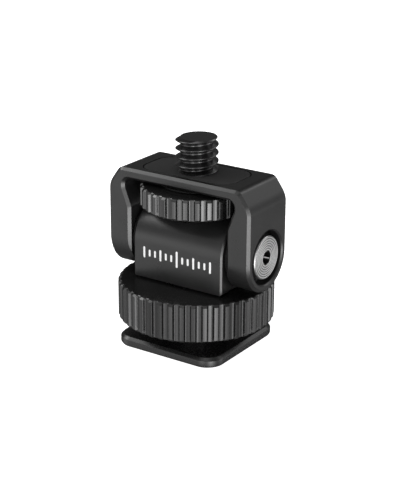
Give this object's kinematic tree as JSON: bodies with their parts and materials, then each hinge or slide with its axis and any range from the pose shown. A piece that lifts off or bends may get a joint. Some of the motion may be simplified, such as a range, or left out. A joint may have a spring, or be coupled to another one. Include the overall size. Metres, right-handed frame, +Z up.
{
  "type": "tilting accessory shoe mount",
  "caption": "Small tilting and swivelling accessory-shoe mount: shoe foot with knurled clamp wheel, swivel block, and a tilting yoke with a captive quarter-inch thumbscrew.",
  "frame": {"origin": "centre of the shoe foot's underside, on the clamp wheel's and swivel's axis", "axes": "+Z up along the swivel axis and the thumbscrew, X along the tilt axis, front of the block facing -Y"},
  "size_m": [0.0254, 0.024, 0.0326],
  "materials": {
    "black_anodised": "black anodised aluminium, fine bead-blasted satin",
    "dark_steel": "blackened steel, satin",
    "bare_steel": "turned stainless steel",
    "spring_steel": "spring steel, plain",
    "rubber": "thin matt black rubber sheet",
    "nylon": "dark grey nylon",
    "bronze": "sintered bronze"
  },
  "bodies": {
    "foot": {"shoe_foot": "dark_steel", "foot_screw": "dark_steel", "foot_dowel_front": "bare_steel", "foot_dowel_rear": "bare_steel", "clamp_post": "dark_steel", "swivel_washer": "nylon", "swivel_spring_lower": "spring_steel", "swivel_spring_upper": "spring_steel", "swivel_screw": "dark_steel"},
    "clamp_ring": {"clamp_ring": "dark_steel"},
    "clamp_wheel": {"clamp_wheel": "black_anodised"},
    "swivel_head": {"tilt_block": "black_anodised", "swivel_bush": "bronze", "pivot_screw_right": "bare_steel", "pivot_screw_left": "bare_steel", "pivot_spring_right": "spring_steel", "pivot_spring_left": "spring_steel", "friction_washer_right": "nylon", "friction_washer_left": "nylon"},
    "yoke": {"yoke": "black_anodised", "top_pad": "rubber", "pivot_bush_right": "bronze", "pivot_bush_left": "bronze", "stud_retaining_washer": "nylon", "thumb_washer": "nylon"},
    "thumbscrew": {"thumb_stud": "dark_steel", "thumb_wheel": "black_anodised"}
  },
  "joints": [
    {"name": "head_swivel", "type": "hinge", "parent": "foot", "child": "swivel_head", "pos_m": [0, 0, 0.0105], "axis": [0, 0, 1], "continuous": true},
    {"name": "yoke_tilt", "type": "hinge", "parent": "swivel_head", "child": "yoke", "pos_m": [0, 0, 0.016], "axis": [1, 0, 0], "range_deg": [-65, 65]},
    {"name": "thumbscrew_turn", "type": "hinge", "parent": "yoke", "child": "thumbscrew", "pos_m": [0, 0, 0.0236], "axis": [0, 0, 1], "continuous": true},
    {"name": "clamp_ring_slide", "type": "slide", "parent": "foot", "child": "clamp_ring", "axis": [0, 0, 1], "range_m": [-0.002, 0]},
    {"name": "clamp_wheel_turn", "type": "hinge", "parent": "clamp_ring", "child": "clamp_wheel", "pos_m": [0, 0, 0.0072], "axis": [0, 0, 1], "range_deg": [-720, 0]}
  ],
  "couplings": [
    {"joint": "clamp_ring_slide", "follows": "clamp_wheel_turn", "m_per_rad": 0.00015915}
  ]
}
